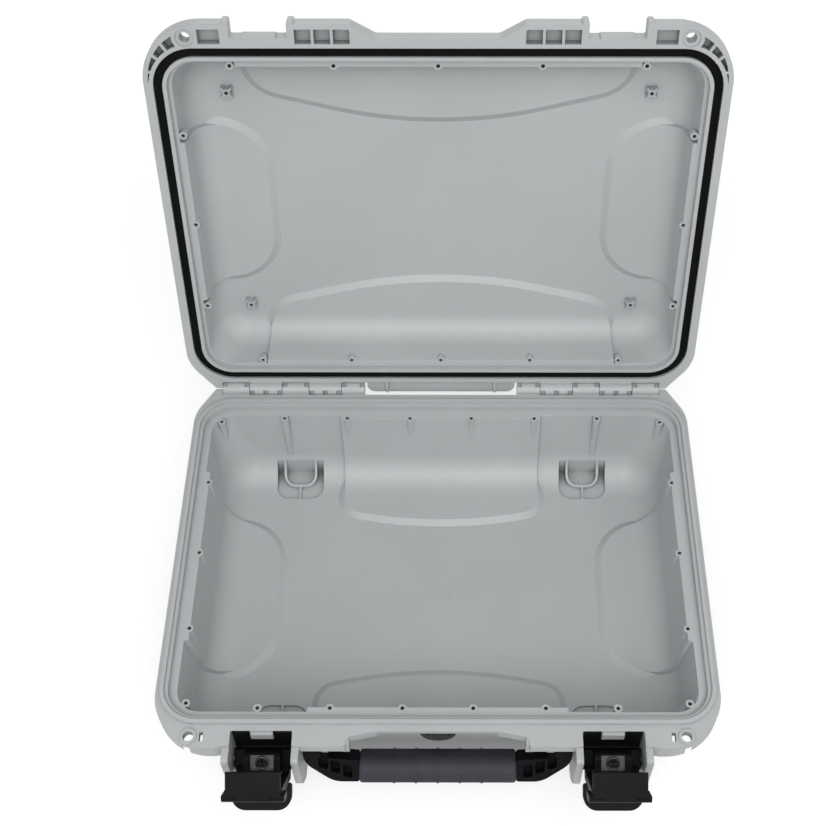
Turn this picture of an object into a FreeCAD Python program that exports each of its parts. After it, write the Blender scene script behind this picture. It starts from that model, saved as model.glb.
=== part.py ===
import FreeCAD, Part
import math
import os
from FreeCAD import Vector

# Frame: X to the right, Y towards the hinges, Z up, origin at the middle of the base's underside.
# The case is drawn standing open: the lid leans on its stop, the latches hang open, the handle is folded.
# All lengths are millimetres and all angles degrees.

# Seal line, walls and heights
SEAL_HALF_LENGTH = 175.0
SEAL_HALF_DEPTH = 124.2
SEAL_CORNER = 24.0
WALL = 3.5
BASE_DEPTH = 68.0
LID_DEPTH = 37.0
PARTING_GAP = 0.4

# Moulded tub forms
RIM_INSET = 9.0
RIM_LEDGE_DROP = 4.5
LEDGE_INSET = 3.8
BASE_DRAFT = 6.0
BASE_FLOOR_CORNER = 30.0
BASE_FLOOR_FILLET = 24.0
LID_RIM_INSET = 8.0
LID_LEDGE_RISE = 5.0
LID_LEDGE_INSET = 5.5
LID_DRAFT = 5.0
LID_PANEL_CORNER = 28.0
LID_PANEL_FILLET = 20.0

# Stiffening lobes pressed into walls and panels
LOBE_STEP = 3.0
LOBE_SLOPE = 4.5
BASE_REAR_LOBE_HALF = SEAL_HALF_LENGTH - 102.0
BASE_FRONT_LOBE_HALF = SEAL_HALF_LENGTH - 92.5
BASE_LOBE_SHOULDER = SEAL_HALF_DEPTH - 52.2
BASE_LOBE_CROWN = SEAL_HALF_DEPTH - 67.2
BASE_SIDE_LOBE_WALL = SEAL_HALF_DEPTH - 48.2
BASE_SIDE_LOBE_SHOULDER = SEAL_HALF_DEPTH - 72.2
SIDE_LOBE_CROWN = SEAL_HALF_LENGTH - 58.0
LID_LOBE_WALL_HALF = SEAL_HALF_LENGTH - 41.0
LID_LOBE_SHOULDER_HALF = SEAL_HALF_LENGTH - 51.0
LID_LOBE_SHOULDER = SEAL_HALF_DEPTH - 38.2
LID_LOBE_CROWN = SEAL_HALF_DEPTH - 68.2
LID_SIDE_LOBE_WALL = SEAL_HALF_DEPTH - 60.2
LID_SIDE_LOBE_SHOULDER = SEAL_HALF_DEPTH - 67.2
BASE_LOBE_RADIUS = 14.0
LID_LOBE_RADIUS = 26.0
LOBE_CROWN_RADIUS = 300.0
SIDE_LOBE_RADIUS = 34.0

# Rim, tongue, groove and gasket
TONGUE_WIDTH = 2.8
TONGUE_HEIGHT = 2.2
GASKET_WIDTH = 5.6
GASKET_HEIGHT = 5.0
GASKET_CLEARANCE = 0.1
TONGUE_CLEARANCE = 0.3
BASE_SKIRT = 13.5
SKIRT_WALL = 3.0
BASE_SIDE_REACH = 3.8
BASE_FRONT_REACH = 15.8
PADLOCK_REACH = 16.8
BASE_FRONT_CORNER = 37.0
REAR_CORNER = 30.0
LID_FLANGE = 10.0
LID_SIDE_REACH = 8.6
LID_FRONT_REACH = 18.0
LID_FRONT_CORNER = 38.0
LID_CORING_DEPTH = 7.0
LID_CORING_WALL = 3.2
CORING_RIB = 1.8

# Padlock holes
PADLOCK_X = SEAL_HALF_LENGTH - 20.5
PADLOCK_Y = -(SEAL_HALF_DEPTH + 9.5)
PADLOCK_HOLE_RADIUS = 3.3
PADLOCK_COLLAR_RADIUS = 5.2
PADLOCK_COLLAR_HEIGHT = 1.0
PADLOCK_PLATE = 5.0
PADLOCK_BOSS_RADIUS = 8.0
PADLOCK_SLOT = (2.4, 6.0, 8.0)
PADLOCK_SLOT_X = PADLOCK_X - 7.9

# Screw bosses on the ledges and posts on the lid panel
BOSS_RADIUS = 2.75
BOSS_HOLE_RADIUS = 1.25
BOSS_HOLE_DEPTH = 9.0
BOSS_INSET = 2.5
BOSS_LENGTH = 24.0
LONG_BOSS_LENGTH = 44.0
BASE_BOSS_X = (SEAL_HALF_LENGTH * 0.128, SEAL_HALF_LENGTH * 0.39, SEAL_HALF_LENGTH - 61.0)
BASE_BOSS_Y = (0.0, SEAL_HALF_DEPTH * 0.459)
BASE_CORNER_BOSS = (SEAL_HALF_LENGTH - 15.4, SEAL_HALF_DEPTH - 14.7)
LID_BOSS_X = (0.0, SEAL_HALF_LENGTH * 0.3714, SEAL_HALF_LENGTH - 45.4)
LID_BOSS_Y = (0.0, SEAL_HALF_DEPTH * 0.5314)
LID_BOSS_LENGTH = 4.0
LID_BOSS_HOLE_DEPTH = 5.0
POST_X = SEAL_HALF_LENGTH - 36.5
POST_Y = SEAL_HALF_DEPTH - 41.2
POST_HEIGHT = 6.0
LEDGE_STRIP_HALF = SEAL_HALF_LENGTH * 0.48
LEDGE_STRIP = 2.4
POST_RADIUS = 2.6
POST_FIN_SPAN = 9.5
POST_FIN_WALL = 1.4

# Feet with ribbed pockets
FOOT_X = SEAL_HALF_LENGTH - 68.0
FOOT_HALF_WIDTH = 21.0
FOOT_INNER_Y = SEAL_HALF_DEPTH - 44.2
FOOT_TOP = 36.0
FOOT_CORNER = 13.0
FOOT_FLOOR = 1.6
FOOT_RIB = 1.8
FOOT_U_HALF = 12.5
FOOT_U_Y = SEAL_HALF_DEPTH - 30.7
FOOT_U_CORNER = 9.0

# Hinges
HINGE_Y = SEAL_HALF_DEPTH + 12.0
KNUCKLE_RADIUS = 5.0
KNUCKLE_CLEARANCE = 0.5
KNUCKLE_END_GAP = 0.2
KNUCKLE_BOUNDS = tuple(SEAL_HALF_LENGTH - inset for inset in (119.2, 102.0, 78.2, 58.4, 34.5, 14.6))
HINGE_EAR = 5.3
HINGE_EAR_LENGTH = 5.0
REAR_LIP_INSET = 1.4
REAR_LIP_REACH = 10.2
REAR_LIP_CORNER = 6.0
REAR_LIP = (3.0, 7.0)
REAR_LIP_RIB_X = 14.8
KNUCKLE_NOTCH = 3.4
KNUCKLE_NOTCH_DEPTH = 2.2
HINGE_PIN_RADIUS = 2.0
PIN_CLEARANCE = 0.05
PIN_END_INSET = 1.0
LID_OPEN_ANGLE = 105.0

# Latches
LATCH_X = SEAL_HALF_LENGTH - 65.5
LATCH_RECESS_HALF = 19.3
LATCH_RECESS_REACH = 5.6
LATCH_HALF_WIDTH = 18.8
LATCH_LINER = 1.0
SEAT_DROP = 27.0
SEAT_TAB_HALF = 7.0
SEAT_TAB_DROP = 8.5
GUARD_WALL = 4.5
GUARD_FRONT_Y = -(SEAL_HALF_DEPTH + 25.8)
LEVER_PIN = (-(SEAL_HALF_DEPTH + 13.8), -24.5)
CLAW_PIN = (LEVER_PIN[0] - 5.0, LEVER_PIN[1] - 8.0)
LEVER_PIN_RADIUS = 2.0
CLAW_PIN_RADIUS = 1.5
LEVER_NECK_HALF = 11.6
LEVER_FACE_Y = LEVER_PIN[0] - 14.0
LEVER_PLATE = 4.5
LEVER_HUB_RADIUS = 6.8
LEVER_HUB_FRONT = 3.2
LEVER_FOOT = -53.5
PADDLE_TOP = -37.3
PADDLE_CORNER = 9.0
CLAW_ARM_INNER = 12.2
CLAW_ARM_WALL = 4.6
CLAW_ARM_RADIUS = 4.2
CLAW_FACE_Y = CLAW_PIN[0] - 6.0
CLAW_BAR_Y = CLAW_PIN[0] - 1.4
CLAW_TIP_Y = -(SEAL_HALF_DEPTH + 6.3)
CLAW_FINGER_HALF = 16.4
CLAW_FINGER = 2.6
CLAW_ARM_BACK = 1.4
CLAW_DIP = 1.3
CLAW_DIP_HALF = 10.0
CLAW_GAP = 0.5
LID_NOTCH_HALF = 17.6
LID_NOTCH_REACH = 9.1
RETAINER_HALF = (7.6, 5.0)
RETAINER_THICKNESS = 1.2
RETAINER_DEPTH = 4.0
RETAINER_SCREW_RADIUS = 4.3
RETAINER_SCREW_HEAD = 1.8
RETAINER_SHANK_RADIUS = 1.5
RETAINER_SHANK = 5.0
LEVER_OPEN_ANGLE = 55.0
CLAW_OPEN_ANGLE = 36.0

# Handle
HANDLE_PIN = (-(SEAL_HALF_DEPTH + 4.8), -17.5)
HANDLE_PIN_RADIUS = 2.0
HANDLE_HUB_RADIUS = 6.0
HANDLE_SIDE_GAP = 0.5
HANDLE_HUB_WIDTH = 11.2
HANDLE_LUG_WALL = 4.5
HANDLE_HUB_OUTER = LATCH_X - LATCH_RECESS_HALF - GUARD_WALL - HANDLE_SIDE_GAP
HANDLE_HUB_INNER = HANDLE_HUB_OUTER - HANDLE_HUB_WIDTH
HANDLE_LUG_INNER = HANDLE_HUB_INNER - HANDLE_SIDE_GAP - HANDLE_LUG_WALL
HANDLE_REACH = 19.4
HANDLE_REST_TILT = 31.0
HANDLE_ARM_THICKNESS = 11.0
HANDLE_BAR = 12.0
GRIP_HALF_LENGTH = LATCH_X - 59.8
GRIP_DEPTH = 18.6
GRIP_THICKNESS = 22.0
GRIP_CORNER = 9.0
HANDLE_RECESS_REACH = 5.9
HANDLE_BAY_RISE = 3.6
HANDLE_RECESS_HALF = LATCH_X - 71.5
HANDLE_RECESS_SHOULDER = LATCH_X - 52.5
ARM_NOTCH_DROP = 8.0
ARM_ROOT = 9.5
ARM_SHOULDER = 13.0
ARM_POCKETS = 3
ARM_POCKET_MARGIN = (4.5, 8.0)
ARM_POCKET_RISE = 8.0
ARM_POCKET_FALL = 10.0

# Pressure valve
VALVE_DROP = 29.0
VALVE_RADIUS = 12.0
VALVE_CAP = 4.0
VALVE_STEM_RADIUS = 6.0
VALVE_PAD_RADIUS = 14.0
VALVE_PAD_Y = -(SEAL_HALF_DEPTH - 9.2)
VALVE_PAD_INNER_Y = -(SEAL_HALF_DEPTH - 15.8)
VALVE_NUT_RADIUS = 9.0
VALVE_NUT = 3.0
VALVE_STEM_PROUD = 0.4
VALVE_SEAL_WIRE = 1.0
VALVE_HOLE_RADIUS = 1.3
VALVE_HOLE_X = 7.0
VALVE_ROOM = 1.0

# Front panel behind the handle
PANEL_HALF = HANDLE_RECESS_SHOULDER + 3.0
PANEL_WALL = 3.0
PANEL_FOOT = 2.0
PANEL_RIBS = 4
PANEL_RIB_DEPTH = 24.0
PANEL_RIB_TOP = 30.0

# Derived levels
FLOOR_Z = WALL
PARTING_Z = FLOOR_Z + BASE_DEPTH
LEDGE_Z = PARTING_Z - RIM_LEDGE_DROP
LID_FACE_Z = PARTING_Z + PARTING_GAP
LID_LEDGE_Z = PARTING_Z + LID_LEDGE_RISE
LID_PANEL_Z = PARTING_Z + LID_DEPTH
LID_FLANGE_Z = PARTING_Z + LID_FLANGE
GROOVE_Z = PARTING_Z + TONGUE_HEIGHT + TONGUE_CLEARANCE + GASKET_HEIGHT
REAR_EDGE_Y = HINGE_Y - KNUCKLE_RADIUS - KNUCKLE_CLEARANCE
RIM_CORNER = SEAL_CORNER - RIM_INSET
SINK_Y = -(SEAL_HALF_DEPTH - 24.2)
OUT = SEAL_HALF_LENGTH + 25.0


def unit(a, b):
    """Direction of a plane vector."""
    size = math.hypot(a, b)
    return a / size, b / size


def offset_corners(corners, distance):
    """Corners of an anticlockwise outline moved outwards by distance."""
    moved = []
    for index, (a, b, radius) in enumerate(corners):
        before = corners[index - 1]
        after = corners[(index + 1) % len(corners)]
        in_a, in_b = unit(a - before[0], b - before[1])
        out_a, out_b = unit(after[0] - a, after[1] - b)
        share = distance / (1.0 + in_a * out_a + in_b * out_b)
        turn = in_a * out_b - in_b * out_a
        new_radius = max(radius + distance * math.copysign(1.0, turn), 0.0) if radius else 0.0
        moved.append((a + share * (in_b + out_b), b - share * (in_a + out_a), new_radius))
    return moved


def mirrored(corners, flip_x=True):
    """The same outline on the other side, still anticlockwise."""
    side = -1.0 if flip_x else 1.0
    return [(side * a, -side * b, radius) for a, b, radius in reversed(corners)]


def outline(corners, place):
    """Closed wire through (a, b, corner radius) points; place maps a plane point into space."""
    cuts = []
    for index, (a, b, radius) in enumerate(corners):
        here = Vector(a, b, 0)
        to_before = (Vector(corners[index - 1][0], corners[index - 1][1], 0) - here).normalize()
        following = corners[(index + 1) % len(corners)]
        to_after = (Vector(following[0], following[1], 0) - here).normalize()
        if radius == 0:
            cuts.append((here, None, here))
            continue
        half = to_before.getAngle(to_after) / 2.0
        setback = radius / math.tan(half)
        middle = here + (to_before + to_after).normalize() * (radius / math.sin(half) - radius)
        cuts.append((here + to_before * setback, middle, here + to_after * setback))
    edges = []
    for index, (start, middle, end) in enumerate(cuts):
        if middle is not None:
            edges.append(Part.Arc(place(start), place(middle), place(end)).toShape())
        following = cuts[(index + 1) % len(cuts)][0]
        if end.distanceToPoint(following) > 1e-6:
            edges.append(Part.LineSegment(place(end), place(following)).toShape())
    return Part.Wire(edges)


def plan_prism(corners, low, high):
    """Solid from a plan outline between two heights."""
    wire = outline(corners, lambda point: Vector(point.x, point.y, low))
    return Part.Face(wire).extrude(Vector(0, 0, high - low))


def side_prism(corners, left, right):
    """Solid from a (y, z) outline between two X places."""
    wire = outline(corners, lambda point: Vector(left, point.x, point.y))
    return Part.Face(wire).extrude(Vector(right - left, 0, 0))


def front_prism(corners, near, far):
    """Solid from an (x, z) outline between two Y places."""
    wire = outline(corners, lambda point: Vector(point.x, near, point.y))
    return Part.Face(wire).extrude(Vector(0, far - near, 0))


def box(low, high):
    """Block between two corners."""
    return Part.makeBox(high[0] - low[0], high[1] - low[1], high[2] - low[2], Vector(*low))


def x_rod(radius, left, right, y, z):
    """Cylinder along X."""
    return Part.makeCylinder(radius, right - left, Vector(left, y, z), Vector(1, 0, 0))


def rectangle(half_length, half_depth, corner):
    """Anticlockwise rounded rectangle about the origin."""
    return [(half_length, half_depth, corner), (-half_length, half_depth, corner),
            (-half_length, -half_depth, corner), (half_length, -half_depth, corner)]


def seal_rectangle(grow):
    """Rounded rectangle that follows the seal line at a distance."""
    return rectangle(SEAL_HALF_LENGTH + grow, SEAL_HALF_DEPTH + grow, SEAL_CORNER + grow)


def both_sides(solid):
    """The solid and its mirror image across the middle plane."""
    return [solid, solid.mirror(Vector(0, 0, 0), Vector(1, 0, 0))]


def tub(inset, draft, floor_corner, fillet, floor_z, rim_z, grow):
    """Drafted tub form; grow widens it and lowers its floor, fillet rounds the floor's edge."""
    half_length = SEAL_HALF_LENGTH - inset + grow
    half_depth = SEAL_HALF_DEPTH - inset + grow
    corner = SEAL_CORNER - inset + grow
    down = math.copysign(1.0, floor_z - rim_z)
    low = floor_z + down * grow
    rim = outline(rectangle(half_length, half_depth, corner), lambda p: Vector(p.x, p.y, rim_z))
    floor = outline(rectangle(half_length - draft, half_depth - draft, floor_corner + grow),
                    lambda p: Vector(p.x, p.y, low))
    solid = Part.makeLoft([floor, rim], True, True)
    edges = [edge for edge in solid.Edges if all(abs(v.Z - low) < 1e-6 for v in edge.Vertexes)]
    return solid.makeFillet(fillet + grow, edges)


def base_tub(grow):
    """Inside form of the base, widened by grow."""
    return tub(RIM_INSET, BASE_DRAFT, BASE_FLOOR_CORNER, BASE_FLOOR_FILLET, FLOOR_Z, LEDGE_Z, grow)


def lid_tub(grow):
    """Inside form of the closed lid, widened by grow."""
    return tub(LID_RIM_INSET, LID_DRAFT, LID_PANEL_CORNER, LID_PANEL_FILLET, LID_PANEL_Z, LID_LEDGE_Z, grow)


def end_lobe(wall_half, shoulder_half, shoulder, crown, radius):
    """Plan outline of the lobe in the rear wall, open past the wall."""
    return [(-shoulder_half, shoulder, radius), (0.0, crown, LOBE_CROWN_RADIUS),
            (shoulder_half, shoulder, radius), (wall_half, OUT, 0.0), (-wall_half, OUT, 0.0)]


def side_lobe(wall_half, shoulder_half):
    """Plan outline of the lobe in the right wall, open past the wall."""
    return [(OUT, -wall_half, 0.0), (OUT, wall_half, 0.0),
            (SIDE_LOBE_CROWN, shoulder_half, SIDE_LOBE_RADIUS),
            (SIDE_LOBE_CROWN, -shoulder_half, SIDE_LOBE_RADIUS)]


def base_lobes():
    """Plan outlines of the base's four lobes."""
    levels = (BASE_LOBE_SHOULDER, BASE_LOBE_CROWN, BASE_LOBE_RADIUS)
    rear = end_lobe(BASE_REAR_LOBE_HALF, BASE_REAR_LOBE_HALF, *levels)
    front = end_lobe(BASE_FRONT_LOBE_HALF, BASE_FRONT_LOBE_HALF, *levels)
    right = side_lobe(BASE_SIDE_LOBE_WALL, BASE_SIDE_LOBE_SHOULDER)
    return [rear, mirrored(front, False), right, mirrored(right)]


def lid_lobes():
    """Plan outlines of the lid's four lobes."""
    rear = end_lobe(LID_LOBE_WALL_HALF, LID_LOBE_SHOULDER_HALF, LID_LOBE_SHOULDER, LID_LOBE_CROWN, LID_LOBE_RADIUS)
    right = side_lobe(LID_SIDE_LOBE_WALL, LID_SIDE_LOBE_SHOULDER)
    return [rear, mirrored(rear, False), right, mirrored(right)]


def lobe_block(corners, floor_z, rim_z):
    """Upright block over a lobe's plan, with a sloped foot where it meets the floor."""
    step_z = floor_z + math.copysign(LOBE_STEP, rim_z - floor_z)
    foot = outline(offset_corners(corners, LOBE_SLOPE), lambda p: Vector(p.x, p.y, floor_z))
    top = outline(corners, lambda p: Vector(p.x, p.y, step_z))
    slope = Part.makeLoft([foot, top], True, True)
    return slope.fuse(plan_prism(corners, min(step_z, rim_z), max(step_z, rim_z)))


def lobed(form, inner_form, lobes, floor_z, rim_z):
    """The tub form drawn in to inner_form wherever a lobe lies."""
    blocks = [lobe_block(corners, floor_z, rim_z) for corners in lobes]
    return form.cut(blocks[0].fuse(blocks[1:]).cut(inner_form))


def rear_corner(side):
    """Rear right corner of a rim, with the ear that covers the hinge pin's end."""
    ear = KNUCKLE_BOUNDS[-1] + KNUCKLE_END_GAP
    reach = REAR_EDGE_Y + HINGE_EAR
    return [(side, reach - REAR_CORNER * 0.75, REAR_CORNER), (ear + HINGE_EAR_LENGTH, reach, 2.0),
            (ear, reach, 0.0), (ear, REAR_EDGE_Y, 0.0)]


def base_rim_corners():
    """Plan outline of the base's rim with the handle bay and the latch recesses."""
    front = -(SEAL_HALF_DEPTH + BASE_FRONT_REACH)
    bay = -(SEAL_HALF_DEPTH + HANDLE_RECESS_REACH)
    recess = -(SEAL_HALF_DEPTH + LATCH_RECESS_REACH)
    nose = -(SEAL_HALF_DEPTH + PADLOCK_REACH)
    side = SEAL_HALF_LENGTH + BASE_SIDE_REACH
    inner = LATCH_X - LATCH_RECESS_HALF
    outer = LATCH_X + LATCH_RECESS_HALF
    step = outer + GUARD_WALL
    half = [(HANDLE_RECESS_HALF, bay, 24.0), (HANDLE_RECESS_SHOULDER, bay - HANDLE_BAY_RISE, 4.6),
            (HANDLE_RECESS_SHOULDER, front, 1.5), (inner, front, 0.8), (inner, recess, 0.8), (outer, recess, 0.8), (outer, front, 0.8),
            (step, front, 2.0), (step + 5.0, nose, 3.0), (side, nose, BASE_FRONT_CORNER)]
    half += rear_corner(side)
    return half + [(-a, b, radius) for a, b, radius in reversed(half)]


def lid_rim_corners():
    """Plan outline of the lid's flange with the handle bay and the latch notches."""
    front = -(SEAL_HALF_DEPTH + LID_FRONT_REACH)
    notch = -(SEAL_HALF_DEPTH + LID_NOTCH_REACH)
    side = SEAL_HALF_LENGTH + LID_SIDE_REACH
    inner = LATCH_X - LID_NOTCH_HALF
    outer = LATCH_X + LID_NOTCH_HALF
    half = [(HANDLE_RECESS_HALF, notch, 6.0), (HANDLE_RECESS_SHOULDER - 3.0, front, 4.0),
            (inner, front, 1.0), (inner, notch, 1.0), (outer, notch, 1.0), (outer, front, 1.0),
            (side, front, LID_FRONT_CORNER)]
    half += rear_corner(side)
    return half + [(-a, b, radius) for a, b, radius in reversed(half)]


def screw_boss(x, y, top, length):
    """Round boss that fades into the wall below it; length is negative where it runs upwards."""
    sign = math.copysign(1.0, length)
    axis = Vector(0, 0, -sign)
    taper = BOSS_RADIUS * 2.0
    straight = Part.makeCylinder(BOSS_RADIUS, abs(length), Vector(x, y, top), axis)
    tip = Part.makeCone(BOSS_RADIUS, 0.2, taper, Vector(x, y, top - length), axis)
    return straight.fuse(tip)


def boss_hole(x, y, top, depth):
    """Blind pilot hole of a screw boss; depth is negative where it runs upwards."""
    axis = Vector(0, 0, -math.copysign(1.0, depth))
    return Part.makeCylinder(BOSS_HOLE_RADIUS, abs(depth), Vector(x, y, top), axis)


def base_boss_places():
    """Plan places and lengths of the base's ledge bosses."""
    depth = SEAL_HALF_DEPTH - RIM_INSET - BOSS_INSET
    length = SEAL_HALF_LENGTH - RIM_INSET - BOSS_INSET
    places = []
    for x in BASE_BOSS_X:
        run = LONG_BOSS_LENGTH if x == BASE_BOSS_X[-1] else BOSS_LENGTH
        places += [(sx * x, sy * depth, run) for sx in (-1, 1) for sy in (-1, 1)]
    for y in BASE_BOSS_Y:
        places += [(sx * length, sy * y, BOSS_LENGTH) for sx in (-1, 1) for sy in ((-1, 1) if y else (1,))]
    places += [(sx * BASE_CORNER_BOSS[0], sy * BASE_CORNER_BOSS[1], BOSS_LENGTH)
               for sx in (-1, 1) for sy in (-1, 1)]
    return places


def lid_boss_places():
    """Plan places of the lid's ledge bosses."""
    depth = SEAL_HALF_DEPTH - LID_RIM_INSET - BOSS_INSET
    length = SEAL_HALF_LENGTH - LID_RIM_INSET - BOSS_INSET
    places = []
    for x in LID_BOSS_X:
        places += [(sx * x, sy * depth) for sx in ((-1, 1) if x else (1,)) for sy in (-1, 1)]
    for y in LID_BOSS_Y:
        places += [(sx * length, sy * y) for sx in (-1, 1) for sy in ((-1, 1) if y else (1,))]
    return places


def knuckle_spans(owner):
    """X spans of the right hinge's knuckles: owner 0 is the base's, 1 the lid's."""
    spans = list(zip(KNUCKLE_BOUNDS[:-1], KNUCKLE_BOUNDS[1:]))[owner::2]
    return [(left + KNUCKLE_END_GAP, right - KNUCKLE_END_GAP) for left, right in spans]


def knuckles(owner):
    """Bored knuckles of both hinges with the webs that join them to their rim."""
    lift = 1.0 if owner else -1.0
    root = REAR_EDGE_Y - 2.0
    start = PARTING_GAP if owner else 0.0
    reach = KNUCKLE_RADIUS * 0.7
    web = [(root, PARTING_Z + lift * start, 0.0), (HINGE_Y, PARTING_Z + lift * start, 0.0),
           (HINGE_Y + reach, PARTING_Z + lift * reach, 0.0), (root, PARTING_Z + lift * 10.5, 0.0)]
    solids = []
    for left, right in knuckle_spans(owner):
        body = x_rod(KNUCKLE_RADIUS, left, right, HINGE_Y, PARTING_Z).fuse(side_prism(web, left, right))
        cuts = [x_rod(HINGE_PIN_RADIUS + PIN_CLEARANCE, left, right, HINGE_Y, PARTING_Z)]
        edges = [left, right - KNUCKLE_NOTCH]
        if owner:
            edges.append((left + right - KNUCKLE_NOTCH) / 2)
        notch_z = PARTING_Z - lift * (KNUCKLE_RADIUS - KNUCKLE_NOTCH_DEPTH)
        for edge in edges:
            cuts.append(box((edge, HINGE_Y - KNUCKLE_NOTCH / 2, min(notch_z, notch_z - lift * KNUCKLE_RADIUS)),
                            (edge + KNUCKLE_NOTCH, OUT, max(notch_z, notch_z - lift * KNUCKLE_RADIUS))))
        solids += both_sides(body.cut(cuts))
    return solids


def foot_ribs(side_y):
    """Upright U wall and its tie rib inside one foot's pocket, at the right; side_y is 1 at the rear."""
    inner_y = FOOT_U_Y + FOOT_RIB
    u_outer = [(FOOT_X - FOOT_U_HALF, FOOT_U_Y, FOOT_U_CORNER), (FOOT_X + FOOT_U_HALF, FOOT_U_Y, FOOT_U_CORNER),
               (FOOT_X + FOOT_U_HALF, OUT, 0.0), (FOOT_X - FOOT_U_HALF, OUT, 0.0)]
    wall = plan_prism(u_outer, 0.0, FOOT_TOP).cut(plan_prism(offset_corners(u_outer, -FOOT_RIB), 0.0, FOOT_TOP))
    tie = box((FOOT_X - FOOT_RIB / 2, FOOT_INNER_Y, 0.0), (FOOT_X + FOOT_RIB / 2, inner_y, FOOT_TOP))
    ribs = wall.fuse(tie)
    return ribs if side_y > 0 else ribs.mirror(Vector(0, 0, 0), Vector(0, 1, 0))


def foot_outline(side_y):
    """Plan outline of the right-hand foot at the rear (side_y 1) or at the front (side_y -1)."""
    far = SEAL_HALF_DEPTH - RIM_INSET - BASE_DRAFT + WALL
    rear = [(FOOT_X - FOOT_HALF_WIDTH, FOOT_INNER_Y, FOOT_CORNER),
            (FOOT_X + FOOT_HALF_WIDTH, FOOT_INNER_Y, FOOT_CORNER),
            (FOOT_X + FOOT_HALF_WIDTH, far, 3.0), (FOOT_X - FOOT_HALF_WIDTH, far, 3.0)]
    return rear if side_y > 0 else mirrored(rear, False)


def feet():
    """Four feet that square off the tub's rounded lower edge."""
    solids = []
    for side_y in (1, -1):
        solids += both_sides(plan_prism(foot_outline(side_y), 0.0, FOOT_TOP))
    return solids


def foot_pockets():
    """Hollows inside the four feet, with their ribs left standing."""
    solids = []
    for side_y in (1, -1):
        hollow = plan_prism(offset_corners(foot_outline(side_y), -WALL), FOOT_FLOOR, FOOT_TOP)
        solids += both_sides(hollow.cut(foot_ribs(side_y)))
    return solids


def latch_guards():
    """Guard ears beside each latch and the seat block behind it."""
    top = PARTING_Z - 1.5
    ear = [(SINK_Y, PARTING_Z - 58.0, 0.0), (SINK_Y, top, 0.0), (GUARD_FRONT_Y, top, 3.0),
           (GUARD_FRONT_Y, PARTING_Z - 38.0, 14.0), (GUARD_FRONT_Y + 11.0, PARTING_Z - 55.0, 10.0)]
    seat_y = -(SEAL_HALF_DEPTH + LATCH_RECESS_REACH)
    solids = []
    for edge in (LATCH_X - LATCH_RECESS_HALF - GUARD_WALL, LATCH_X + LATCH_RECESS_HALF):
        solids += both_sides(side_prism(ear, edge, edge + GUARD_WALL))
    seat = box((LATCH_X - LATCH_RECESS_HALF, seat_y, PARTING_Z - SEAT_DROP),
               (LATCH_X + LATCH_RECESS_HALF, SINK_Y, PARTING_Z - 0.1))
    tab = box((LATCH_X - SEAT_TAB_HALF, seat_y - LATCH_LINER - 1.0, PARTING_Z - SEAT_TAB_DROP),
              (LATCH_X + SEAT_TAB_HALF, SINK_Y, PARTING_Z - 2.0))
    return solids + both_sides(seat.fuse(tab))


def latch_liner():
    """Dark wear plate on the back of the right latch's recess, cut out round the seat's tab."""
    seat_y = -(SEAL_HALF_DEPTH + LATCH_RECESS_REACH)
    half = LATCH_HALF_WIDTH - PARTING_GAP
    plate = box((LATCH_X - half, seat_y - LATCH_LINER, PARTING_Z - SEAT_DROP),
                (LATCH_X + half, seat_y, PARTING_Z - PARTING_GAP))
    room = SEAT_TAB_HALF + PARTING_GAP
    return plate.cut(box((LATCH_X - room, seat_y - LATCH_LINER, PARTING_Z - SEAT_TAB_DROP - PARTING_GAP),
                         (LATCH_X + room, seat_y, PARTING_Z)))


def handle_lugs():
    """Lugs under the front flange that carry the handle pins, and the plain teeth beside the bay."""
    y, drop = HANDLE_PIN
    z = PARTING_Z + drop
    top = PARTING_Z - 1.0
    lug = [(SINK_Y, z - 7.0, 0.0), (SINK_Y, top, 0.0), (y - 7.0, top, 0.0), (y - 7.0, z - 7.0, 6.0)]
    tooth = [(SINK_Y, z + 1.5, 0.0), (SINK_Y, top, 0.0), (y - 9.0, top, 0.0), (y - 9.0, z + 1.5, 3.0)]
    return (both_sides(side_prism(lug, HANDLE_LUG_INNER, HANDLE_LUG_INNER + HANDLE_LUG_WALL))
            + both_sides(side_prism(tooth, HANDLE_RECESS_SHOULDER - 2.0, HANDLE_RECESS_SHOULDER + 2.5)))


def base_rim():
    """Rim plate with its skirt, hollow below along the front."""
    corners = base_rim_corners()
    plate = plan_prism(corners, PARTING_Z - BASE_SKIRT, PARTING_Z)
    reach = LATCH_X - LATCH_RECESS_HALF
    front = -(SEAL_HALF_DEPTH - 1.0)
    hollow = plan_prism(offset_corners(corners, -SKIRT_WALL), PARTING_Z - BASE_SKIRT - 1.0, PARTING_Z - WALL)
    hollow = hollow.common(box((-reach, -OUT, 0.0), (reach, front, PARTING_Z)))
    low = PARTING_Z - BASE_SKIRT - 1.0
    arm_notch = box((HANDLE_RECESS_HALF, -OUT, low), (reach - GUARD_WALL, front, PARTING_Z - ARM_NOTCH_DROP))
    bay = box((-HANDLE_RECESS_HALF, -OUT, low), (HANDLE_RECESS_HALF, front, PARTING_Z - WALL))
    valve_room = along_valve(VALVE_RADIUS + VALVE_ROOM, -OUT, VALVE_PAD_Y + OUT)
    corner = plan_prism(offset_corners(corners, -SKIRT_WALL), low, PARTING_Z - PADLOCK_PLATE)
    edge = LATCH_X + LATCH_RECESS_HALF + GUARD_WALL
    corner = corner.common(box((edge, -OUT, low), (OUT, SINK_Y, PARTING_Z))).cut(base_tub(WALL))
    shackle_room = Part.makeCylinder(PADLOCK_COLLAR_RADIUS, PARTING_Z - PADLOCK_PLATE - low,
                                     Vector(PADLOCK_X, PADLOCK_Y, low))
    rooms = both_sides(arm_notch) + both_sides(corner) + both_sides(shackle_room)
    return plate.cut([hollow, bay, valve_room] + rooms)


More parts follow.
